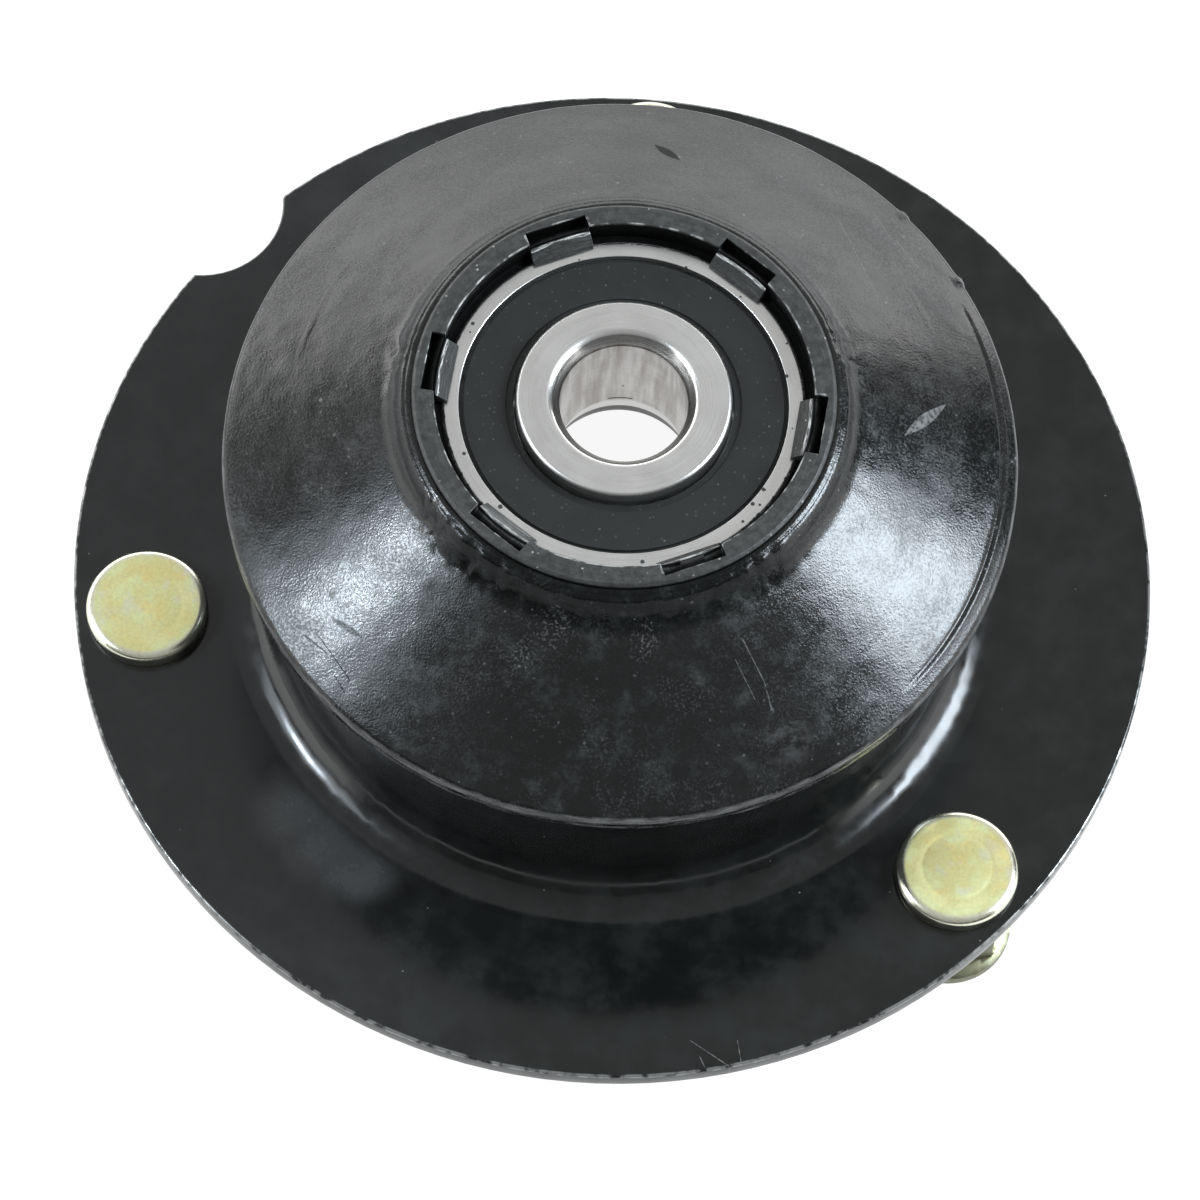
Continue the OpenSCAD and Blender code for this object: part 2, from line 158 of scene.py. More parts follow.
class RubberSettings(bpy.types.PropertyGroup):
    """Shape and finish of the rubber cone."""

    colour: tint("Rubber", "Colour of the rubber", (0.0036, 0.0041, 0.0040))
    dust: tint("Dust", "Colour of dust and scuffs on the rubber", (0.16, 0.16, 0.16))
    roughness: share("Roughness", "How dull the rubber's skin is", 0.17)
    gloss: share("Gloss", "Strength of the rubber's reflections", 0.4)
    grain: length("Grain", "Depth of the skin's fine grain", 0.022 * MM)
    wave: length("Wave", "Depth of the slow waves in the moulded skin", 0.05 * MM)
    flash: length("Flash", "Height of the torn flash round the neck", 0.5 * MM)
    neck_radius: length("Neck radius", "Radius of the neck round the housing", 24.6 * MM)
    neck_fillet: length("Neck fillet", "Fillet between neck and cone", 4.0 * MM)
    lip_height: length("Lip height", "Height of the lip's upper edge", 55.7 * MM)
    lip_thickness: length("Lip thickness", "Thickness of the cone's lip", 2.4 * MM)
    groove_inset: length("Groove inset", "Distance of the shallow groove from the lip", 1.9 * MM)
    groove_depth: length("Groove depth", "Depth of the shallow groove", 0.16 * MM)
    columns: count("Columns", "Faces round the cone", 480, 96)


class HousingSettings(bpy.types.PropertyGroup):
    """Finish of the staked cup."""

    paint: tint("Paint", "Colour of the cup's dull black coat", (0.0155, 0.016, 0.0153))
    bare: tint("Bare steel", "Colour of the steel where the coat is rubbed off", (0.6, 0.6, 0.58))
    roughness: share("Roughness", "How dull the coat is", 0.5)
    edge_round: length("Edge rounding", "Rounding of the cup's edges", 0.14 * MM)


class BearingSettings(bpy.types.PropertyGroup):
    """Steel and seal rubber of the ball bearing."""

    steel: tint("Ground steel", "Colour of the ground rings", (0.65, 0.65, 0.636))
    roughness: share("Roughness", "How dull the ground steel is", 0.3)
    seal: tint("Seal", "Colour of the seals' rubber", (0.0078, 0.0084, 0.0079))
    cage: tint("Cage", "Colour of the stamped cage", (0.55, 0.55, 0.54))
    mouth_radius: length("Mouth radius", "Radius of the bore's chamfer on the strut side", 8.1 * MM)
    mouth_round: length("Mouth rounding", "Rounding where that chamfer opens", 0.5 * MM)
    edge_round: length("Edge rounding", "Rounding of the rings' edges", 0.12 * MM)
    seal_round: length("Seal rounding", "Rounding of the seals' edges", 0.06 * MM)


class FastenerSettings(bpy.types.PropertyGroup):
    """Plating and thread of the studs and nuts."""

    zinc: tint("Yellow zinc", "Main colour of the plating", (0.86, 0.84, 0.40))
    green: tint("Green cast", "Greenish places in the plating", (0.84, 0.88, 0.49))
    rose: tint("Warm cast", "Warm yellow places in the plating", (0.92, 0.79, 0.33))
    silver: tint("Silver edge", "Thin plating on rounded edges", (0.85, 0.85, 0.77))
    # Share of the plating's own colour on the nuts; the rest is dark zinc grey, a painted shade of
    # the plate over them
    nut_unshaded: share("Nut plating", "How fresh the plating of the nuts is", 0.12)
    pitch: length("Pitch", "Pitch of the thread", 1.25 * MM)
    depth: length("Depth", "Depth of the thread", 0.68 * MM)
    nut_round: length("Nut rounding", "Rounding of the nuts' edges", 0.15 * MM)
    turns: count("Columns", "Faces round a stud", 72, 24)


class StageSettings(bpy.types.PropertyGroup):
    """Floor, light and camera."""

    floor: tint("Floor", "Colour of the floor", (0.8, 0.8, 0.8))
    left: share("Left light", "Brightness of the left soft box", 46.0, 100.0)
    right: share("Right light", "Brightness of the right soft box", 25.0, 100.0)
    day: tint("Daylight", "Colour of the soft boxes", (0.81, 0.91, 1.0))
    back: share("Back wall", "Brightness of the low wall behind the object", 2.5, 100.0)
    sides: share("Side papers", "Brightness of the low papers left and right", 2.6, 100.0)
    cloth: share("Black cloth", "Brightness of the black cloths", 0.12)
    ceiling: share("Ceiling", "Brightness of the room above the soft boxes", 0.54, 5.0)
    lens: FloatProperty(name="Lens", description="Focal length", default=173.4, unit="CAMERA")


# Shapes


def arc(centre, radius, start, end, steps):
    """Points on an arc in a section, from one angle to another in degrees."""
    angles = [math.radians(start + (end - start) * k / steps) for k in range(steps + 1)]
    return [(centre[0] + radius * math.cos(a), centre[1] + radius * math.sin(a)) for a in angles]


def line(start, end, steps):
    """Points from start towards end, without the end itself."""
    return [
        (start[0] + (end[0] - start[0]) * k / steps, start[1] + (end[1] - start[1]) * k / steps)
        for k in range(steps)
    ]


def tent(off, width):
    """1 in the middle, falling to 0 at this width."""
    return max(0.0, 1.0 - abs(off) / width)


def ring(radius, height, columns):
    """Points round the axis at one height."""
    angles = [math.tau * c / columns for c in range(columns)]
    return [(radius * math.cos(a), radius * math.sin(a), height) for a in angles]


def shell_mesh(name, points, faces, weld=None):
    """A mesh with outward normals. With a weld its close points are joined and its holes filled."""
    mesh = bpy.data.meshes.new(name)
    mesh.from_pydata(points, [], faces)
    shell = bmesh.new()
    shell.from_mesh(mesh)
    if weld is not None:
        bmesh.ops.remove_doubles(shell, verts=shell.verts, dist=weld)
        bmesh.ops.dissolve_degenerate(shell, edges=shell.edges, dist=weld)
        rims = [e for e in shell.edges if e.is_boundary]
        bmesh.ops.holes_fill(shell, edges=rims, sides=0)
    bmesh.ops.recalc_face_normals(shell, faces=shell.faces)
    shell.to_mesh(mesh)
    shell.free()
    return mesh


def turned(name, section, columns):
    """A body turned about Z from a closed section in metres."""
    points, faces = [], []
    for r, z in section:
        points += ring(r, z, columns)
    for k in range(len(section)):
        low, high = k * columns, (k + 1) % len(section) * columns
        for c in range(columns):
            n = (c + 1) % columns
            faces.append((low + c, low + n, high + n, high + c))
    return placed(name, shell_mesh(name, points, faces), 38.0)


def linked(name, data):
    """A new object in the scene for a mesh, light or camera."""
    piece = bpy.data.objects.new(name, data)
    bpy.context.scene.collection.objects.link(piece)
    return piece


def placed(name, mesh, sharp):
    """An object for a finished mesh, smooth but for edges sharper than this angle."""
    mesh.shade_smooth()
    mesh.set_sharp_from_angle(angle=math.radians(sharp))
    return linked(name, mesh)


def axis_of(node, height):
    """The point on a small upright piece's own axis at this height."""
    low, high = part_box(node)
    return Vector(((low.x + high.x) / 2, (low.y + high.y) / 2, height))


def ease(shell, edges, rounding, segments):
    """Rounds some edges of a mesh that is being built."""
    amount = {"offset": rounding, "segments": segments, "profile": 0.5}
    bmesh.ops.bevel(shell, geom=edges, affect="EDGES", clamp_overlap=True, **amount)


def eased_copy(name, node, edge_round, sharp=32.0, origin=(0.0, 0.0, 0.0), mouth=None):
    """A copy of a packed node whose sharp edges are rounded, with its origin at a given point.

    A mouth is the radius and height of one round edge and the bigger rounding that it gets.
    """
    weld, near = 0.001 * MM, 0.05 * MM
    shell = bmesh.new()
    shell.from_mesh(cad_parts[node].data)
    bmesh.ops.translate(shell, vec=-Vector(origin), verts=shell.verts)
    bmesh.ops.remove_doubles(shell, verts=shell.verts, dist=weld)
    bmesh.ops.dissolve_degenerate(shell, edges=shell.edges, dist=weld)
    limit = math.radians(sharp)
    if mouth is not None:
        radius, height, rounding = mouth

        def on_mouth(v):
            off = math.hypot(v.co.x, v.co.y) - radius
            return abs(off) < near and abs(v.co.z - height) < near

        edges = [e for e in shell.edges if all(on_mouth(v) for v in e.verts)]
        ease(shell, edges, rounding, 7)
    edges = [e for e in shell.edges if len(e.link_faces) == 2 and e.calc_face_angle() > limit]
    ease(shell, edges, edge_round, 2)
    mesh = bpy.data.meshes.new(name)
    shell.to_mesh(mesh)
    shell.free()
    piece = placed(name, mesh, 40.0)
    piece.location = origin
    piece.modifiers.new("flat_faces", "WEIGHTED_NORMAL").keep_sharp = True
    return piece


def dress(piece, finish, body, node):
    """Gives a piece its finish, slot and body, and hides the node it stands for."""
    piece.data.materials.clear()
    piece.data.materials.append(finish)
    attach(piece, body)
    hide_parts(node)


def refinish(node, finish):
    """Puts a finish on a packed node that is shown as it is."""
    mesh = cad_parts[node].data
    mesh.materials.clear()
    mesh.materials.append(finish)


# Finishes

SPAN_KEYS = ("From Min", "From Max", "To Min", "To Max")


def scaled(colour, factor):
    """A colour made lighter or darker."""
    return [factor * c for c in colour]


class Finish:
    """Node tree of one procedural finish, measured in millimetres of the object's own space."""

    def __init__(self, name):
        self.material = bpy.data.materials.new(name)
        self.material.use_nodes = True
        self.tree = self.material.node_tree
        self.shader = self.tree.nodes["Principled BSDF"]
        coordinates = self.add("ShaderNodeTexCoord").outputs["Object"]
        self.place = self.vector("SCALE", coordinates, scale=1.0 / MM)
        parts = self.add("ShaderNodeSeparateXYZ")
        self.link(self.place, parts.inputs[0])
        self.x, self.y, self.z = parts.outputs
        flat = self.add("ShaderNodeCombineXYZ")
        self.link(self.x, flat.inputs[0])
        self.link(self.y, flat.inputs[1])
        self.flat = flat.outputs[0]
        self.radius = self.vector("LENGTH", self.flat)
        self.spoke = self.vector("NORMALIZE", self.flat)

    def add(self, kind, **settings):
        node = self.tree.nodes.new(kind)
        for key, value in settings.items():
            setattr(node, key, value)
        return node

    def link(self, source, target):
        if isinstance(source, bpy.types.NodeSocket):
            self.tree.links.new(source, target)
        else:
            target.default_value = source

    def math(self, operation, a, b=0.0, clamp=False):
        node = self.add("ShaderNodeMath", operation=operation, use_clamp=clamp)
        self.link(a, node.inputs[0])
        self.link(b, node.inputs[1])
        return node.outputs[0]

    def times(self, a, b, clamp=False):
        return self.math("MULTIPLY", a, b, clamp)

    def plus(self, a, b):
        return self.math("ADD", a, b)

    def minus(self, a, b, clamp=False):
        return self.math("SUBTRACT", a, b, clamp)

    def most(self, *masks):
        """Where any of these masks holds."""
        total = masks[0]
        for mask in masks[1:]:
            total = self.math("MAXIMUM", total, mask)
        return total

    def both(self, *masks):
        """Where all of these masks hold."""
        total = masks[0]
        for mask in masks[1:]:
            total = self.times(total, mask)
        return total

    def vector(self, operation, a, b=None, scale=None):
        node = self.add("ShaderNodeVectorMath", operation=operation)
        self.link(a, node.inputs[0])
        if b is not None:
            self.link(b, node.inputs[1])
        if scale is not None:
            self.link(scale, node.inputs["Scale"])
        number = operation in ("LENGTH", "DOT_PRODUCT", "DISTANCE")
        return node.outputs["Value" if number else "Vector"]

    def noise(self, size, detail=3.0, rough=0.55, place=None):
        """Cloudy noise with spots of about this size in millimetres."""
        node = self.add("ShaderNodeTexNoise")
        self.link(self.place if place is None else place, node.inputs["Vector"])
        node.inputs["Scale"].default_value = 1.0 / size
        node.inputs["Detail"].default_value = detail
        node.inputs["Roughness"].default_value = rough
        return node.outputs["Fac"]

    def swept(self, along, across, detail=3.0, at=30.0):
        """Noise drawn out round the axis: spots this long at a radius and this wide across it."""
        node = self.add("ShaderNodeCombineXYZ")
        turn = self.add("ShaderNodeSeparateXYZ")
        self.link(self.spoke, turn.inputs[0])
        self.link(self.times(turn.outputs[0], at / along), node.inputs[0])
        self.link(self.times(turn.outputs[1], at / along), node.inputs[1])
        self.link(self.times(self.plus(self.radius, self.z), 1.0 / across), node.inputs[2])
        return self.noise(1.0, detail, 0.6, node.outputs[0])

    def specks(self, cell, size, chance=1.0):
        """Round specks, at most one in each cell, as a mask."""
        edge = 6.0 * cell / size
        node = self.add("ShaderNodeTexVoronoi")
        self.link(self.place, node.inputs["Vector"])
        node.inputs["Scale"].default_value = 1.0 / cell
        pick = self.add("ShaderNodeSeparateColor")
        self.link(node.outputs["Color"], pick.inputs[0])
        inside = self.minus(self.times(pick.outputs[0], size / cell), node.outputs["Distance"])
        here = self.math("LESS_THAN", pick.outputs[1], chance)
        return self.times(self.times(inside, edge, True), here, True)

    def span(self, value, low, high, out_low=0.0, out_high=1.0):
        """Value between low and high as a number between out_low and out_high."""
        node = self.add("ShaderNodeMapRange", interpolation_type="SMOOTHSTEP")
        self.link(value, node.inputs["Value"])
        for key, number in zip(SPAN_KEYS, (low, high, out_low, out_high)):
            node.inputs[key].default_value = number
        return node.outputs["Result"]

    def stroke(self, start, end, width, leaf=0.0):
        """A scratch between two points in plan, as a mask. A leaf swells in its middle."""
        a = Vector((*start, 0.0))
        b = Vector((*end, 0.0)) - a
        off = self.vector("SUBTRACT", self.flat, tuple(a))
        shadow = self.vector("DOT_PRODUCT", off, tuple(b))
        along = self.times(shadow, 1.0 / b.length_squared, True)
        away = self.vector("DISTANCE", off, self.vector("SCALE", tuple(b), scale=along))
        swell = self.math("SINE", self.times(along, math.pi))
        reach = self.plus(self.times(swell, leaf), width)
        return self.times(self.minus(reach, away), 1.0 / width, True)

    def near(self, value, middle, reach):
        """Mask of where a value lies within reach of its middle."""
        away = self.math("ABSOLUTE", self.minus(value, middle))
        return self.span(away, reach, 0.8 * reach)

    def patch(self, centre, reach, ragged=0.9, size=2.5, detail=4.0):
        """A round patch in plan with a more or less ragged border, as a mask."""
        away = self.vector("DISTANCE", self.flat, (*centre, 0.0))
        uneven = self.times(self.noise(size, detail, 0.7), ragged * reach)
        return self.span(self.plus(away, uneven), 1.3 * reach, 0.4 * reach)

    def mix(self, factor, a, b):
        node = self.add("ShaderNodeMix", data_type="RGBA")
        self.link(factor, node.inputs["Factor"])
        for source, target in ((a, node.inputs["A"]), (b, node.inputs["B"])):
            socket = isinstance(source, bpy.types.NodeSocket)
            self.link(source if socket else (*source, 1.0), target)
        return node.outputs["Result"]

    def bump(self, height, depth, normal=None):
        node = self.add("ShaderNodeBump")
        node.inputs["Distance"].default_value = depth
        self.link(height, node.inputs["Height"])
        if normal is not None:
            self.link(normal, node.inputs["Normal"])
        return node.outputs["Normal"]

    def set(self, socket, source):
        self.link(source, self.shader.inputs[socket])


def satin_paint(settings):
    """Satin black paint with painted sheen on the left, beside the fillet highlight and lighter
    towards the left, a little dusty and worn along the cut edge.
    """
    f = Finish("satin_black_paint")
    cloud = f.noise(9.0, detail=1.0)
    smudge = f.noise(6.0, detail=4.0, rough=0.65)
    colour = f.mix(f.span(smudge, 0.35, 0.7), settings.paint, scaled(settings.paint, 2.2))
    # Painted sheen: pale patches on the flat beside the left fillet highlight, where the paint is
    # also a little rougher
    sheen = f.both(
        f.most(*(f.patch(place, 6.0, ragged=0.4, size=7.0, detail=1.0) for place in PLATE_SHEEN_SPOTS)),
        f.span(f.noise(0.5), 0.2, 0.8, 0.7, 1.0),
        f.span(f.radius, 43.0, 46.5),
    )
    colour = f.mix(f.times(sheen, 0.36), colour, SHEEN_GREY)
    # Painted light: the paint turns lighter towards the left, the side of the left lamp
    colour = f.mix(f.span(f.x, 5.0, -50.0, 0.0, 0.06), colour, SHEEN_GREY)
    scratches = [f.stroke(*mark) for mark in PLATE_SCRATCHES]
    dust = f.most(f.specks(2.6, 0.16, 0.4), *scratches)
    dust = f.times(dust, f.span(f.noise(0.7), 0.35, 0.6, 0.1, 0.6))
    colour = f.mix(dust, colour, PALE_DUST)
    brink = f.both(f.span(f.radius, 61.9, 62.1), f.span(f.z, 24.05, 24.2))
    worn = f.times(brink, f.span(f.noise(1.4, detail=4.0), 0.38, 0.62))
    f.set("Base Color", f.mix(f.times(worn, 0.8), colour, settings.bare))
    f.set("Metallic", f.times(worn, 0.7))
    dull = f.span(smudge, 0.3, 0.7, settings.roughness - 0.05, settings.roughness + 0.1)
    f.set("Roughness", f.plus(dull, f.times(sheen, 0.1)))
    f.set("Specular IOR Level", 0.4)
    f.set("Normal", f.bump(cloud, 0.03 * MM))
    return f.material


def cone_rubber(settings):
    """Moulded rubber with a fine grain, dust, scratches, dull nicks and a pale torn lip, and
    painted shade that dulls the neck's reflections on the near side.
    """
    f = Finish("moulded_rubber")
    grain = f.noise(0.24, detail=1.0, rough=0.6)
    sweep = f.swept(1.3, 0.4, detail=1.0)
    smear = f.swept(9.0, 2.4, detail=2.0)
    cloud = f.noise(7.0, detail=2.0)
    mottle = f.noise(2.6, detail=4.0, rough=0.72)
    speckle = f.noise(0.3, detail=2.0, rough=0.6)
    film = f.both(f.span(mottle, 0.45, 0.7), f.span(cloud, 0.35, 0.65))
    colour = f.mix(film, settings.colour, scaled(settings.colour, 5.0))
    drift = f.most(
        f.times(f.span(f.noise(5.5, detail=4.0, rough=0.7), 0.45, 0.66), 0.32),
        *(f.patch(*heap) for heap in DUST_DRIFTS),
    )
    dusty = f.most(
        f.both(f.specks(0.95, 0.24, 0.6), f.span(mottle, 0.44, 0.64)),
        f.both(f.span(speckle, 0.49, 0.74), drift),
    )
    scratch = f.both(
        f.most(*(f.stroke(*mark) for mark in RUBBER_SCRATCHES)),
        f.span(f.noise(0.5), 0.3, 0.62, 0.1, 0.7),
    )
    scuff = f.both(f.patch(*RUBBER_SCUFF), f.span(mottle, 0.4, 0.6))
    lip = f.both(
        f.span(f.radius, 43.75, 44.05),
        f.span(f.z, 46.0, 50.0),
        f.span(f.swept(3.0, 0.4, detail=6.0, at=44.0), 0.42, 0.66, 0.0, 0.55),
    )
    marks = f.most(f.times(dusty, 0.5), scratch, f.times(scuff, 0.22), lip)
    nicks = f.most(
        *(f.stroke(*mark) for mark in RUBBER_NICKS),
        f.times(f.stroke(*RUBBER_GOUGE), 0.7),
        *(f.times(f.patch(*spot), 0.6) for spot in RUBBER_DULL_SPOTS),
    )
    f.set("Base Color", f.mix(marks, colour, settings.dust))
    dull = f.span(smear, 0.3, 0.7, settings.roughness - 0.05, settings.roughness + 0.09)
    dull = f.plus(dull, f.times(film, 0.1))
    dull = f.plus(dull, f.span(speckle, 0.35, 0.65, -0.05, 0.08))
    f.set("Roughness", f.plus(dull, f.times(marks, 0.3)))
    # Painted shade: the neck's reflections are dulled on the near side only, where it lies in shade
    neck = f.both(f.span(f.radius, 27.5, 26.0), f.span(f.y, -14.0, -20.0))
    nicks_and_neck_shade = f.most(nicks, f.times(neck, 0.75))
    f.set("Specular IOR Level", f.span(nicks_and_neck_shade, 0.0, 1.0, settings.gloss, 0.08))
    rough = f.plus(grain, f.times(sweep, 0.4))
    f.set("Normal", f.bump(rough, settings.grain, f.bump(mottle, 0.02 * MM)))
    return f.material


def dull_coat(settings):
    """Dull black coat of the cup: painted shade, near black, in the gap, the slots and on the rim's
    inner wall, the tongues' noses darker as painted shade, rubbed bare at stakes and edges, bare
    along the ridges partly as a painted glint, and one stake's tongue made lighter.
    """
    stakes, first_stake = 6.0, 53.4
    f = Finish("dull_black_coat")
    streak = f.swept(6.0, 0.25, detail=2.0, at=22.0)
    cloud = f.noise(2.2)
    blotch = f.noise(1.1, detail=4.0, rough=0.65)
    light = f.plus(f.times(blotch, 0.7), f.times(streak, 0.3))
    dark_paint, light_paint = scaled(settings.paint, 0.8), scaled(settings.paint, 2.2)
    colour = f.mix(f.span(light, 0.38, 0.64), dark_paint, light_paint)
    below = f.span(f.z, 70.3, 70.1)
    # Painted shade: the rim's inner wall, the slots behind the tongues and the gap beside the outer
    # ring go near black
    wall = f.both(f.span(f.radius, 20.45, 20.6), f.span(f.radius, 20.95, 20.75), below)
    slot = f.both(below, f.span(f.radius, 20.5, 21.6))
    gap = f.both(f.span(f.z, 68.1, 67.9), f.span(f.radius, 19.8, 19.9))
    painted_shade = f.most(wall, slot, gap)
    # Painted shade: the tongues' noses, falling away towards the ring, are painted darker
    nose = f.both(below, f.span(f.radius, 20.3, 20.1))
    colour = f.mix(f.times(nose, 0.6), colour, scaled(settings.paint, 0.45))
    colour = f.mix(f.times(painted_shade, 0.95), colour, SHADE_BLACK)
    turn = f.times(f.math("ARCTAN2", f.y, f.x), stakes)
    around = f.math("COSINE", f.minus(turn, math.radians(stakes * first_stake)))
    brink = f.most(
        f.both(f.near(around, 0.555, 0.06), f.near(f.radius, 21.2, 0.8)),
        f.both(f.span(around, 0.5, 0.56), f.near(f.radius, 21.9, 0.12)),
        f.near(f.radius, 20.72, 0.14),
    )
    rubbed = f.both(brink, f.span(f.z, 70.2, 70.35), f.span(cloud, 0.46, 0.62))
    nicks = f.both(
        f.specks(0.8, 0.18, 0.5), f.span(f.noise(1.5, detail=4.0), 0.42, 0.6)
    )
    # Bare steel along the tongues' ridges: partly rubbed coat, partly a painted glint of the ridge
    ridge = f.both(
        f.near(f.radius, 20.3, 0.17),
        f.near(f.z, 69.55, 0.3),
        f.span(f.swept(1.5, 0.2, detail=5.0, at=20.0), 0.4, 0.62),
    )
    galled = f.span(f.swept(3.0, 0.14, detail=5.0, at=20.0), 0.5, 0.72)
    # The lower-left stake's tongue is made lighter, with bare streaks
    lighter_stake = f.both(f.patch(*LIGHT_STAKE_SPOT, ragged=0.2), below, f.span(f.radius, 21.0, 20.8))
    worn = f.most(f.times(nose, 0.1), f.times(lighter_stake, 0.6))
    bare = f.most(
        f.times(rubbed, 0.55),
        f.times(nicks, 0.4),
        f.times(ridge, 0.8),
        f.times(worn, f.plus(galled, 0.15)),
    )
    bare = f.times(bare, f.minus(1.0, painted_shade), True)
    # Less reflection in the painted shade and on the noses
    flat = f.most(painted_shade, f.times(nose, 0.5))
    f.set("Specular IOR Level", f.span(flat, 0.0, 1.0, 0.5, 0.05))
    f.set("Base Color", f.mix(bare, colour, settings.bare))
    f.set("Metallic", bare)
    least, most = settings.roughness - 0.12, settings.roughness + 0.1
    f.set("Roughness", f.span(f.noise(0.8), 0.3, 0.7, least, most))
    pits = f.noise(0.35, detail=2.0)
    f.set("Normal", f.bump(pits, 0.05 * MM, f.bump(light, 0.05 * MM)))
    return f.material


def ground_steel(settings, outer):
    """Ground steel: the outer ring has grime in pits and painted shade at its edge by the gap, the
    inner ring oil stains in its bore, a short dark dash and painted shade at the bore's lower end.
    """
    f = Finish("ground_steel_outer" if outer else "ground_steel_inner")
    turning = f.swept(14.0, 0.12, at=15.0)
    cloud = f.noise(3.5, detail=4.0)
    pale = f.mix(f.span(cloud, 0.3, 0.7), settings.steel, scaled(settings.steel, 0.9))
    if outer:
        # Painted shade: the ring's outer edge by the gap under the cup's rim goes dark, with a
        # ragged border
        edge = f.span(f.plus(f.radius, f.noise(0.8)), 20.05, 20.2)
        grime_and_shade = f.most(f.specks(1.05, 0.34, 0.42), edge)
    else:
        upright = f.vector("MULTIPLY", f.place, (1.0, 1.0, 0.12))
        runs = f.span(f.noise(1.3, detail=5.0, rough=0.6, place=upright), 0.3, 0.7, 0.2, 1.0)
        oil = f.both(f.span(f.radius, 7.3, 7.05), runs)
        pale = f.mix(f.times(oil, 0.85), pale, OIL_BROWN)
        dash = f.both(
            f.near(f.z, 55.0, 0.14), f.near(f.x, -0.4, 1.5), f.span(f.y, 6.0, 6.5)
        )
        # Painted shade: the lower end of the bore goes dark
        bore_end_shade = f.both(f.span(f.z, 51.6, 51.3), f.span(f.radius, 8.7, 8.5))
        grime_and_shade = f.most(f.specks(2.2, 0.16, 0.2), dash, bore_end_shade)
    f.set("Base Color", f.mix(f.times(grime_and_shade, 0.94), pale, GRIME_AND_SHADE))
    f.set("Metallic", f.minus(1.0, grime_and_shade, True))
    f.set("Specular IOR Level", f.span(grime_and_shade, 0.0, 1.0, 0.5, 0.1))
    dull = f.span(turning, 0.25, 0.75, settings.roughness - 0.06, settings.roughness + 0.1)
    chamfer = f.both(f.span(f.radius, 8.4, 8.2), f.span(f.z, 67.7, 67.9))
    f.set("Roughness", f.minus(dull, f.times(chamfer, 0.1)))
    pits = f.bump(f.noise(0.3), 0.002 * MM)
    f.set("Normal", f.bump(turning, 0.002 * MM, pits))
    return f.material


def seal_rubber(settings):
    """Dull seal rubber with a little dust."""
    f = Finish("seal_rubber")
    cloud = f.noise(3.0, detail=4.0)
    dust = f.most(
        f.both(f.specks(0.9, 0.16, 0.3), f.span(f.noise(4.0), 0.4, 0.65)),
        f.times(f.specks(0.5, 0.16, 0.5), 0.16),
    )
    colour = f.mix(f.span(cloud, 0.3, 0.7), settings.seal, scaled(settings.seal, 1.25))
    f.set("Base Color", f.mix(f.times(dust, 0.45), colour, SEAL_DUST))
    f.set("Roughness", f.span(cloud, 0.25, 0.75, 0.55, 0.7))
    f.set("Specular IOR Level", 0.34)
    f.set("Normal", f.bump(f.noise(0.18, detail=2.0), 0.012 * MM))
    return f.material


def yellow_zinc(name, settings, unshaded):
    """Chromate plating: unshaded is 1 for the plating's own colour and less where dark zinc grey is
    mixed in as painted shade, as on the nuts under the plate.
    """

    # Mixes a colour towards dark zinc grey as painted shade
    def shaded(colour):
        return [unshaded * c + (1.0 - unshaded) * g for c, g in zip(colour, SHADE_ZINC_GREY)]

    f = Finish(name)
    where = f.add("ShaderNodeObjectInfo").outputs["Location"]
    shifted = f.vector("ADD", f.place, f.vector("SCALE", where, scale=700.0))
    warm_place = f.vector("ADD", shifted, (40.0, 11.0, 3.0))
    cool_place = f.vector("ADD", shifted, (7.0, 61.0, 23.0))
    patch = f.noise(3.4, rough=0.5, place=shifted)
    warm = f.noise(3.0, rough=0.5, place=warm_place)
    cool = f.noise(2.4, rough=0.5, place=cool_place)
    fine = f.noise(0.45, detail=4.0, rough=0.7, place=shifted)
    band = f.both(f.near(f.radius, 4.5, 0.8), f.span(f.z, 0.0, 1.0))
    edge = f.both(f.span(f.radius, 5.7, 6.4), f.span(f.z, -0.5, 0.0))
    colour = f.mix(f.span(patch, 0.4, 0.6), shaded(settings.zinc), shaded(settings.green))
    colour = f.mix(f.times(f.span(warm, 0.5, 0.68), 0.75), colour, shaded(settings.rose))
    colour = f.mix(f.times(f.span(cool, 0.54, 0.7), 0.45), colour, shaded(settings.silver))
    colour = f.mix(f.times(band, 0.25), colour, shaded(settings.rose))
    colour = f.mix(f.times(edge, 0.8), colour, shaded(settings.silver))
    f.set("Base Color", f.mix(f.span(fine, 0.35, 0.7, 0.0, 0.25), colour, shaded(ZINC_STAIN)))
    f.set("Metallic", 1.0)
    f.set("Roughness", f.minus(f.span(patch, 0.3, 0.7, 0.36, 0.48), f.times(edge, 0.2)))
    drawn = f.bump(f.swept(30.0, 0.5, detail=2.0, at=4.0), 0.003 * MM)
    f.set("Normal", f.bump(fine, 0.008 * MM, drawn))
    return f.material


def bright_steel(name, colour, roughness):
    """Clean steel of the parts inside the bearing."""
    f = Finish(name)
    cloud = f.noise(1.6, detail=4.0)
    f.set("Base Color", f.mix(cloud, colour, scaled(colour, 0.8)))
    f.set("Metallic", 1.0)
    f.set("Roughness", f.span(cloud, 0.3, 0.7, roughness, roughness + 0.08))
    f.set("Normal", f.bump(f.noise(0.2, detail=2.0), 0.002 * MM))
    return f.material


# Pieces


class STRUT_OT_pressed_plate(bpy.types.Operator):
    """Build the pressed plate with rounded cut edges and satin paint"""

    bl_idname = "strut_mount.pressed_plate"
    bl_label = "Pressed plate"

    def execute(self, context):
        settings = context.scene.strut_plate
        plate = eased_copy("pressed_plate", "mounting_plate", settings.edge_round)
        dress(plate, satin_paint(settings), MOUNT, "mounting_plate")
        return {"FINISHED"}


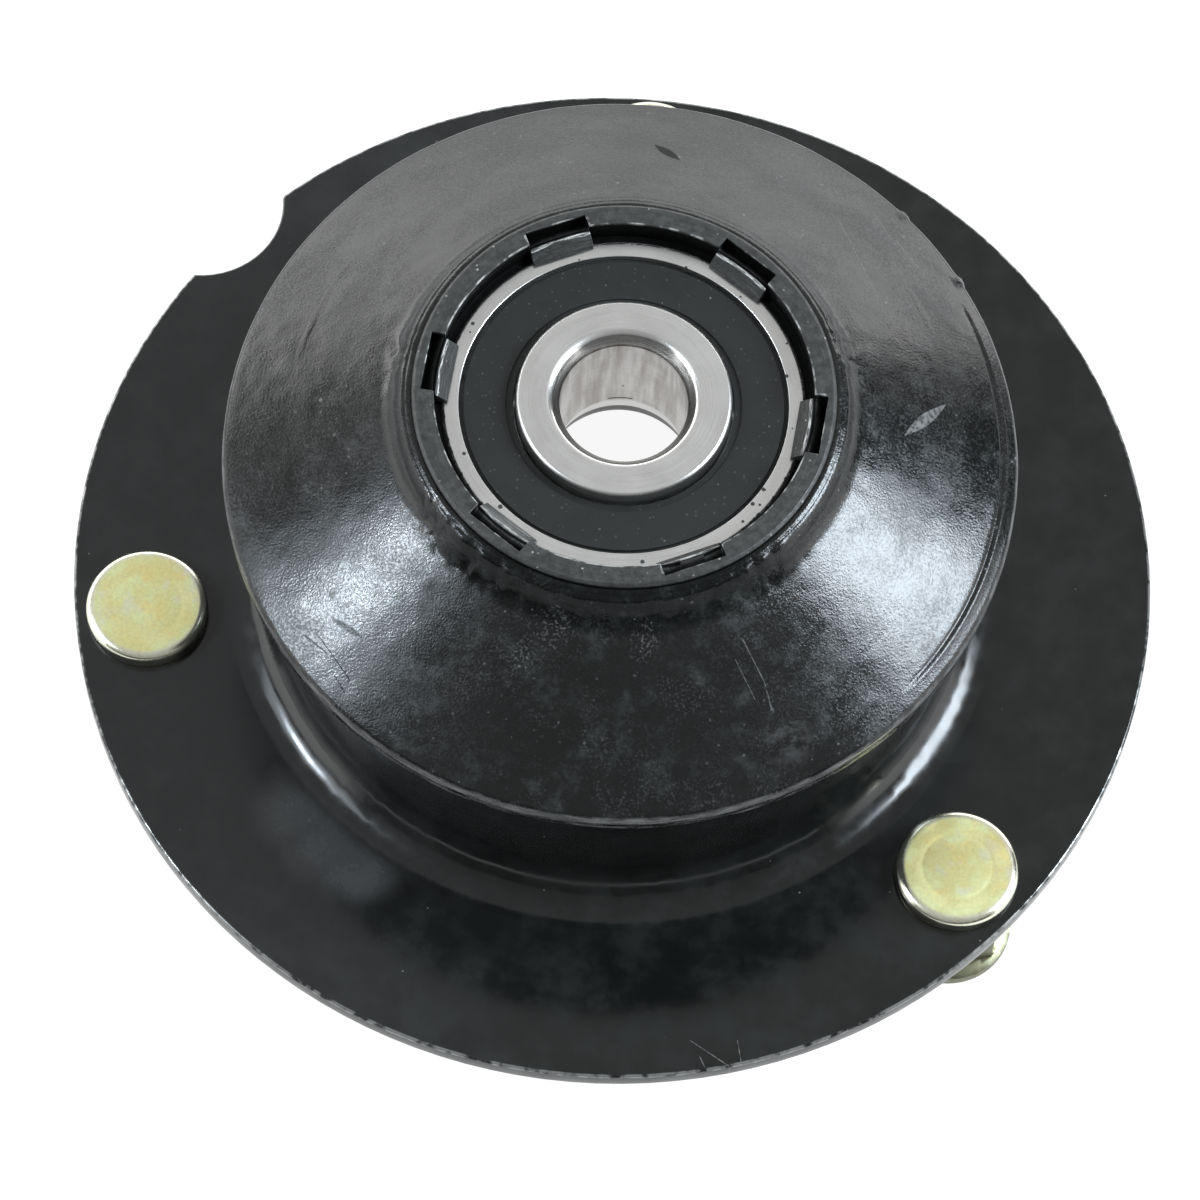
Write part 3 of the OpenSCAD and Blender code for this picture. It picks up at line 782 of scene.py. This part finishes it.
class STRUT_OT_rubber_cone(bpy.types.Operator):
    """Build the moulded rubber cone with its lip, parting line and torn neck flash"""

    bl_idname = "strut_mount.rubber_cone"
    bl_label = "Rubber cone"
    # Bearing and half width in degrees of each torn place round the neck
    torn_places = ((224.0, 20.0), (244.0, 8.0), (263.0, 6.0), (284.0, 8.0))
    torn_places += ((308.0, 16.0), (168.0, 9.0), (20.0, 12.0))
    # Bearings of the tags of flash on the lip, their half width in degrees and their height
    lip_flash, flash_width, flash_height = (46.2, 32.7), 1.2, 0.35 * MM

    def section(self, settings):
        """The closed section, and for each point how much of the skin's unevenness it takes."""
        lip_r, top_z = RUBBER_HIGH.x / MM, RUBBER_HIGH.z / MM
        lip_z, neck_r = settings.lip_height / MM, settings.neck_radius / MM
        fillet, side_z = settings.neck_fillet / MM, lip_z - settings.lip_thickness / MM
        cup_r, collar_r, lining_r = 23.2, 37.0, 35.2
        seat, cup_z = (35.0, 46.0), 52.9
        edge_round, side_round = 1.0, 0.25
        slope, steep = math.tan(math.radians(30)), 0.866
        reach = fillet * slope
        corner_z = lip_z + (lip_r - neck_r) * slope

        def cone(r):
            return (r, lip_z + (lip_r - r) * slope)

        skin = [(cup_r, top_z - 0.4), (cup_r, top_z + 0.15)]
        skin += [(cup_r + 0.25, top_z + 0.16), (cup_r + 0.6, top_z + 0.02)]
        skin += arc((neck_r - 0.9, top_z - 1.05), 1.0, 80, 30, 6)
        skin += arc((neck_r + fillet, corner_z + reach), fillet, 203, 240, 12)
        start = neck_r + reach * steep
        groove = lip_r - settings.groove_inset / MM
        skin += line(cone(start + 0.3), cone(groove - 0.35), 52)
        skin += [cone(groove + k * 0.12) for k in range(-3, 7)]
        edge_z = lip_z + edge_round * (slope - 1 / steep)
        skin += arc((lip_r - edge_round, edge_z), edge_round, 60, 0, 8)
        skin += [(lip_r, edge_z - 0.3), (lip_r + 0.06, edge_z - 0.4), (lip_r, edge_z - 0.5)]
        skin += arc((lip_r - side_round, side_z + side_round), side_round, 0, -58, 4)
        skin += line((lip_r - 0.6, side_z - 0.55), (39.5, seat[1]), 12)
        hidden = arc(seat, 4.5, 0, 90, 10) + [(32.0, 50.5), (32.0, 48.0)]
        hidden += arc(seat, 2.0, 90, 0, 8)
        lining = line((collar_r, 45.0), (collar_r, 31.5), 6)
        lining += [(collar_r, 31.5), (35.4, 31.5), (lining_r, 31.7)]
        lining += line((lining_r, 32.5), (lining_r, 42.6), 12)
        lining += arc((34.2, 42.6), 1.0, 0, 60, 4)
        lining += line((32.0, 45.0), (cup_r, cup_z), 14)
        skirt = [(cup_r, cup_z), (cup_r, 61.767), (36.0, 54.377), (36.0, 56.577), (cup_r, 63.967)]
        points = skin + hidden + lining + skirt
        weights = [0.3 if z < side_z else 1.0 for r, z in skin]
        weights += [0.0] * len(hidden) + [0.35] * len(lining) + [0.0] * len(skirt)
        weights[0] = weights[1] = 0.0
        for k, (r, z) in enumerate(points):
            on_collar = abs(r - collar_r) < 0.05
            on_seat = r > collar_r and z <= seat[1] + 0.05
            if on_collar or on_seat or abs(z - cup_z) < 0.01:
                weights[k] = 0.0
        return [(r * MM, z * MM) for r, z in points], weights

    def lift(self, place, weight, settings):
        """How far a point given in millimetres stands off the plain section, in metres."""
        flat = math.hypot(place.x, place.y)
        lift = settings.wave * noise.fractal(place / 9.0, 1.0, 2.0, 3)
        lift += 0.35 * settings.wave * noise.noise(place / 1.7)
        bearing = math.degrees(math.atan2(place.y, place.x)) % 360.0
        near = tent(flat - settings.neck_radius / MM - 0.5, 1.9)
        if near > 0.0 and weight == 1.0:
            torn = noise.noise(Vector((place.x, place.y, 3.0)) / 1.6)
            torn += 0.5 * noise.noise(Vector((place.x, place.y, 9.0)) / 0.7)
            rag = 0.1 + sum(tent(bearing - a, w) for a, w in self.torn_places)
            lift += near * min(1.0, rag) * settings.flash * max(-0.5, min(0.4, torn))
        lip = RUBBER_HIGH.x / MM
        groove = lip - settings.groove_inset / MM
        ridge = tent(flat - groove, 0.3) - tent(flat - groove - 0.5, 0.35)
        side = (bearing + 180.0) % 360.0 - 180.0
        lift -= settings.groove_depth * ridge * tent(side + 6.0, 34.0) ** 0.5
        if flat > lip - 0.9:
            tags = sum(tent(bearing - a, self.flash_width) for a in self.lip_flash)
            lift += tags * self.flash_height
        return lift

    def execute(self, context):
        settings = context.scene.strut_rubber
        columns = settings.columns
        section, weights = self.section(settings)
        cone = turned("rubber_cone", section, columns)
        vertices = cone.data.vertices
        normals = [v.normal.copy() for v in vertices]
        for k, weight in enumerate(weights):
            if weight == 0.0:
                continue
            for v in range(k * columns, (k + 1) * columns):
                lift = self.lift(vertices[v].co / MM, weight, settings)
                vertices[v].co += normals[v] * lift * weight
        cone.data.update()
        dress(cone, cone_rubber(settings), MOUNT, "rubber_isolator")
        return {"FINISHED"}


class STRUT_OT_bearing_cup(bpy.types.Operator):
    """Build the cup with its six stakes, bare along their ridges, partly rubbed and partly a
    painted glint
    """

    bl_idname = "strut_mount.bearing_cup"
    bl_label = "Bearing cup"

    def execute(self, context):
        settings = context.scene.strut_housing
        cup = eased_copy("bearing_cup", "bearing_housing", settings.edge_round)
        dress(cup, dull_coat(settings), MOUNT, "bearing_housing")
        return {"FINISHED"}


class STRUT_OT_bearing_rings(bpy.types.Operator):
    """Build the ground outer and inner rings of the bearing"""

    bl_idname = "strut_mount.bearing_rings"
    bl_label = "Bearing rings"

    def execute(self, context):
        settings = context.scene.strut_bearing
        rounding = settings.edge_round
        outer = eased_copy("bearing_outer_race", "bearing_outer_ring", rounding)
        dress(outer, ground_steel(settings, True), MOUNT, "bearing_outer_ring")
        mouth = (settings.mouth_radius, INNER_HIGH.z, settings.mouth_round)
        inner = eased_copy("bearing_inner_race", "bearing_inner_ring", rounding, 20.0, mouth=mouth)
        dress(inner, ground_steel(settings, False), RING, "bearing_inner_ring")
        return {"FINISHED"}


class STRUT_OT_seals(bpy.types.Operator):
    """Build the two rubber seals"""

    bl_idname = "strut_mount.seals"
    bl_label = "Seals"

    def execute(self, context):
        settings = context.scene.strut_bearing
        finish = seal_rubber(settings)
        for name, node in (("strut_side_seal", "upper_seal"), ("tower_side_seal", "lower_seal")):
            seal = eased_copy(name, node, settings.seal_round)
            dress(seal, finish, MOUNT, node)
        return {"FINISHED"}


class STRUT_OT_cage_and_balls(bpy.types.Operator):
    """Finish the cage, its rivets and the balls, which stay as packed"""

    bl_idname = "strut_mount.cage_and_balls"
    bl_label = "Cage and balls"

    def execute(self, context):
        settings = context.scene.strut_bearing
        stamped = bright_steel("stamped_cage_steel", settings.cage, 0.32)
        polished = bright_steel("polished_ball_steel", settings.steel, 0.08)
        for node in CAGE_NODES:
            refinish(node, stamped)
        for node in BALL_NODES:
            refinish(node, polished)
        return {"FINISHED"}


class STRUT_OT_studs(bpy.types.Operator):
    """Build the three pressed studs with round heads and cut threads"""

    bl_idname = "strut_mount.studs"
    bl_label = "Studs"
    # Radius and depth in millimetres along the flat head, with its faint ring
    head_face = ((2.0, 0.0), (3.6, 0.0), (3.8, 0.006), (4.0, 0.018))
    head_face += ((4.2, 0.006), (4.4, 0.0), (5.2, 0.0))
    # Depth along one turn of the thread, as a share of the whole depth
    thread = (0.0, 0.0, 0.25, 0.5, 0.75, 1.0, 1.0, 0.75, 0.5, 0.25)

    def stud(self, settings):
        """Points and faces of one stud, with its origin on the plate's upper face."""
        columns, pitch, steps = settings.turns, settings.pitch, len(self.thread)
        low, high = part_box(STUD_NODES[0])
        top, start, tip = high.z - FLANGE_TOP, PLATE_LOW.z - FLANGE_TOP, low.z - FLANGE_TOP
        head_r, head_round, foot_round, hole_r = 7.0 * MM, 1.0 * MM, 0.15 * MM, 4.3 * MM
        major, lead_in = 4.0 * MM, 0.9 * MM
        least = major - settings.depth - 0.2 * MM
        rows = [(r * MM, top - drop * MM) for r, drop in self.head_face]
        rows.append((head_r - head_round - 0.25 * MM, top))
        rows += arc((head_r - head_round, top - head_round), head_round, 90, 0, 10)
        rows += arc((head_r - foot_round, foot_round), foot_round, 0, -90, 3)
        rows += [(hole_r, 0.0), (hole_r, start)]
        points, faces = [], []
        for r, z in rows:
            points += ring(r, z, columns)
        upper = len(rows)
        total = upper + int((start - tip) / pitch * steps) + steps
        for k in range(total - upper):
            for c in range(columns):
                a = math.tau * c / columns
                z = min(start, max(tip, start - pitch * (k / steps - 1.0 + c / columns)))
                fade = min(1.0, (start - z) / pitch)
                deep = settings.depth * self.thread[k % steps] * fade
                lead = max(0.0, lead_in - (z - tip))
                r = max(least, min(major - deep, major - lead))
                points.append((r * math.cos(a), r * math.sin(a), z))
        for k in range(total - 1):
            if k == upper - 1:
                continue
            for c in range(columns):
                n = (c + 1) % columns
                far = k + (steps if n == 0 and k >= upper else 0)
                if far + 1 < total:
                    here, there = k * columns + c, far * columns + n
                    faces.append((here, there, there + columns, here + columns))
        points.append((0.0, 0.0, top))
        faces += [(len(points) - 1, c, (c + 1) % columns) for c in range(columns)]
        return points, faces

    def execute(self, context):
        settings = context.scene.strut_fastener
        mesh = shell_mesh("pressed_stud", *self.stud(settings), weld=0.0001 * MM)
        finish = yellow_zinc("yellow_zinc_stud", settings, 1.0)
        for k, node in enumerate(STUD_NODES):
            stud = placed(f"pressed_stud_{k + 1}", mesh.copy(), 34.0)
            stud.location = axis_of(node, FLANGE_TOP)
            dress(stud, finish, MOUNT, node)
        return {"FINISHED"}


class STRUT_OT_nuts(bpy.types.Operator):
    """Build the three flanged hexagon nuts"""

    bl_idname = "strut_mount.nuts"
    bl_label = "Nuts"

    def execute(self, context):
        settings = context.scene.strut_fastener
        # The nuts' plating is mostly dark zinc grey, a painted shade of the plate over them
        finish = yellow_zinc("yellow_zinc_nut", settings, settings.nut_unshaded)
        for k, node in enumerate(NUT_NODES):
            axis = axis_of(node, PLATE_LOW.z)
            nut = eased_copy(f"flange_nut_{k + 1}", node, settings.nut_round, origin=axis)
            dress(nut, finish, MOUNT, node)
        return {"FINISHED"}


# Stage


class STRUT_OT_stage(bpy.types.Operator):
    """Set up the pale floor, the soft light and the camera"""

    bl_idname = "strut_mount.stage"
    bl_label = "Stage"
    # Grey of the papers whose brightness changes along them
    paper_grey = (0.4, 0.4, 0.4, 1.0)
    # Half side of the floor and its drop below the object, in metres
    floor_reach, floor_drop = 6.0, 2e-4
    # Faint grey that takes the shadow, and the floor's own brightness
    shadow_grey, floor_glow = (0.2, 0.2, 0.2, 1.0), 0.88
    # Distance of the screens as a multiple of the boxes' own
    screen_distance = 1.04
    camera_place = (-0.00133, -0.27819, 0.63293)
    camera_tilt, camera_roll = math.radians(65.75), math.radians(3.38)

    def blank(self, name):
        """A material with an empty tree, and that tree."""
        material = bpy.data.materials.new(name)
        material.use_nodes = True
        material.node_tree.nodes.clear()
        return material, material.node_tree

    def wire(self, tree, kind, *sources, **values):
        """A new node with its first inputs linked to sockets and some inputs set by name."""
        node = tree.nodes.new("ShaderNode" + kind)
        for source, target in zip(sources, node.inputs):
            tree.links.new(source, target)
        for key, value in values.items():
            node.inputs[key].default_value = value
        return node

    def glow(self, name, reach, first, last):
        """A light-giving finish that goes from first to last brightness along Y."""
        material, tree = self.blank(name)
        where = self.wire(tree, "TexCoord").outputs["Object"]
        along = self.wire(tree, "SeparateXYZ", where).outputs["Y"]
        fade = self.wire(tree, "MapRange", along)
        grey = self.paper_grey[0]
        for key, number in zip(SPAN_KEYS, (-reach, reach, first / grey, last / grey)):
            fade.inputs[key].default_value = number
        emission = self.wire(tree, "Emission", Color=self.paper_grey)
        tree.links.new(fade.outputs["Result"], emission.inputs["Strength"])
        self.wire(tree, "OutputMaterial", emission.outputs[0])
        return material

    def even_glow(self, name, strength):
        """A light-giving finish of one brightness."""
        material, tree = self.blank(name)
        emission = self.wire(tree, "Emission", Strength=strength)
        self.wire(tree, "OutputMaterial", emission.outputs[0])
        return material

    def floor_finish(self, colour):
        """White to the eye and in reflections, with a soft shadow, and see-through from below."""
        material, tree = self.blank("pale_floor")
        path = self.wire(tree, "LightPath").outputs
        seen = path["Is Camera Ray"]
        for kind in ("Is Glossy Ray", "Is Transmission Ray"):
            either = self.wire(tree, "Math", seen, path[kind])
            either.operation = "MAXIMUM"
            seen = either.outputs[0]
        lit = self.wire(tree, "BsdfDiffuse", Color=(*colour, 1.0)).outputs[0]
        faint = self.wire(tree, "BsdfDiffuse", Color=self.shadow_grey).outputs[0]
        white = self.wire(tree, "Emission", Strength=self.floor_glow).outputs[0]
        pale = self.wire(tree, "AddShader", faint, white).outputs[0]
        front = self.wire(tree, "MixShader", seen, lit, pale).outputs[0]
        below = self.wire(tree, "NewGeometry").outputs["Backfacing"]
        clear = self.wire(tree, "BsdfTransparent").outputs[0]
        whole = self.wire(tree, "MixShader", below, front, clear).outputs[0]
        self.wire(tree, "OutputMaterial", whole)
        return material

    def object_of(self, name, points, faces, finish):
        """A piece of the stage from points and faces."""
        mesh = bpy.data.meshes.new(name)
        mesh.from_pydata(points, [], faces)
        mesh.materials.append(finish)
        return linked(name, mesh)

    def shell(self, name, radius, rises, turns, finish):
        """Part of a big ball round the object, between two heights and two bearings in degrees."""
        points, faces = [], []
        rows, columns = 12, 48
        for k in range(rows + 1):
            rise = math.radians(rises[0] + (rises[1] - rises[0]) * k / rows)
            flat, high = radius * math.cos(rise), radius * math.sin(rise)
            for c in range(columns + 1):
                turn = math.radians(turns[0] + (turns[1] - turns[0]) * c / columns)
                points.append((flat * math.sin(turn), flat * math.cos(turn), high))
        for k in range(rows):
            for c in range(columns):
                a = k * (columns + 1) + c
                faces.append((a, a + 1, a + columns + 2, a + columns + 1))
        wall = self.object_of(name, points, faces, finish)
        wall.visible_camera = False
        return wall

    def lamp(self, name, place, size, radiance, colour):
        """A soft box that faces the object, with its brightness given per area."""
        light = bpy.data.lights.new(name, "AREA")
        light.shape = "RECTANGLE"
        light.size, light.size_y = size
        light.energy = radiance * math.pi * size[0] * size[1]
        light.color = colour
        lamp = linked(name, light)
        aim = Vector((0.0, 0.0, 0.05)) - Vector(place)
        facing = aim.to_track_quat("-Z", "Y").to_matrix().to_4x4()
        lamp.matrix_world = Matrix.Translation(place) @ facing
        lamp.visible_camera = False

    def papers(self, settings):
        """The floor, and the walls of light and black cloth that the object mirrors."""
        reach, low = self.floor_reach, -self.floor_drop
        corners = [(x * reach, y * reach, low) for x, y in ((-1, -1), (1, -1), (1, 1), (-1, 1))]
        floor = self.object_of("floor", corners, [(0, 1, 2, 3)], self.floor_finish(settings.floor))
        dim, bright = settings.ceiling, settings.back
        overhead = self.glow("ceiling", 2.7, 0.66 * dim, 1.45 * dim)
        behind = self.glow("back_wall", 2.0, 5.9 * bright, 1.1 * bright)
        black = self.even_glow("black_cloth", settings.cloth)
        paper = self.even_glow("side_paper", settings.sides)
        walls = (
            ("ceiling", 3.0, (24, 89.5), (0, 360), overhead),
            ("back_wall", 2.0, (0, 19), (-62, 47), behind),
            ("front_flag", 2.0, (-1, 25), (120, 240), black),
            ("corner_flag", 2.0, (-1, 25), (49, 80), black),
            ("side_flag", 1.9, (17, 42), (46, 72), black),
            ("left_paper", 2.0, (2, 24), (240, 294), paper),
            ("right_paper", 2.0, (2, 24), (80, 120), paper),
        )
        return [floor, *(self.shell(*wall) for wall in walls)]

    def lights(self, settings):
        """Two soft boxes, each with a fainter and wider screen behind it."""
        boxes = (
            ("left", (-0.755, -0.145, 0.695), (0.15, 0.15), (0.36, 0.24), 0.1, settings.left),
            ("right", (0.78, 0.03, 0.66), (0.37, 0.38), (0.12, 0.19), 0.2, settings.right),
        )
        for name, place, (wide, tall), (beside, above), spill, power in boxes:
            self.lamp(name + "_box", place, (wide, tall), power, settings.day)
            place = tuple(self.screen_distance * c for c in place)
            size = (wide + beside, tall + above)
            self.lamp(name + "_screen", place, size, spill * power, settings.day)

    def camera(self, settings):
        """The camera where the photograph was taken from."""
        data = bpy.data.cameras.new("camera")
        data.lens, data.sensor_width = settings.lens, 36.0
        data.clip_start, data.clip_end = 0.01, 50.0
        camera = linked("camera", data)
        tilt = Matrix.Rotation(math.pi / 2 - self.camera_tilt, 4, "X")
        roll = Matrix.Rotation(self.camera_roll, 4, "Z")
        camera.matrix_world = Matrix.Translation(self.camera_place) @ tilt @ roll
        return camera

    def execute(self, context):
        scene, settings = context.scene, context.scene.strut_stage
        self.papers(settings)
        self.lights(settings)
        scene.world = scene.world or bpy.data.worlds.new("studio")
        scene.world.use_nodes = True
        background = scene.world.node_tree.nodes["Background"]
        background.inputs["Color"].default_value = (1.0, 1.0, 1.0, 1.0)
        background.inputs["Strength"].default_value = 1.0
        scene.camera = self.camera(settings)
        scene.view_settings.view_transform = "Standard"
        return {"FINISHED"}


PIECE_STEPS = (
    STRUT_OT_pressed_plate,
    STRUT_OT_rubber_cone,
    STRUT_OT_bearing_cup,
    STRUT_OT_bearing_rings,
    STRUT_OT_seals,
    STRUT_OT_cage_and_balls,
    STRUT_OT_studs,
    STRUT_OT_nuts,
    STRUT_OT_stage,
)

SETTINGS = {
    "strut_plate": PlateSettings,
    "strut_rubber": RubberSettings,
    "strut_housing": HousingSettings,
    "strut_bearing": BearingSettings,
    "strut_fastener": FastenerSettings,
    "strut_stage": StageSettings,
}


class STRUT_PT_sidebar(bpy.types.Panel):
    """Lists the steps and settings of the strut mount"""

    bl_idname = "STRUT_PT_sidebar"
    bl_label = "Strut Mount"
    bl_space_type = "VIEW_3D"
    bl_region_type = "UI"
    bl_category = "Strut Mount"

    def draw(self, context):
        for step in PIECE_STEPS:
            self.layout.operator(step.bl_idname)
        for key, group in SETTINGS.items():
            box = self.layout.box()
            box.label(text=group.__doc__)
            for name in group.__annotations__:
                box.prop(getattr(context.scene, key), name)


CLASSES = (*SETTINGS.values(), *PIECE_STEPS, STRUT_PT_sidebar)


def register():
    for cls in CLASSES:
        bpy.utils.register_class(cls)
    for key, group in SETTINGS.items():
        setattr(bpy.types.Scene, key, PointerProperty(type=group))


def unregister():
    for key in SETTINGS:
        delattr(bpy.types.Scene, key)
    for cls in reversed(CLASSES):
        bpy.utils.unregister_class(cls)


def main():
    register()
    for step in PIECE_STEPS:
        group, name = step.bl_idname.split(".")
        getattr(getattr(bpy.ops, group), name)()


if __name__ == "__main__":
    main()
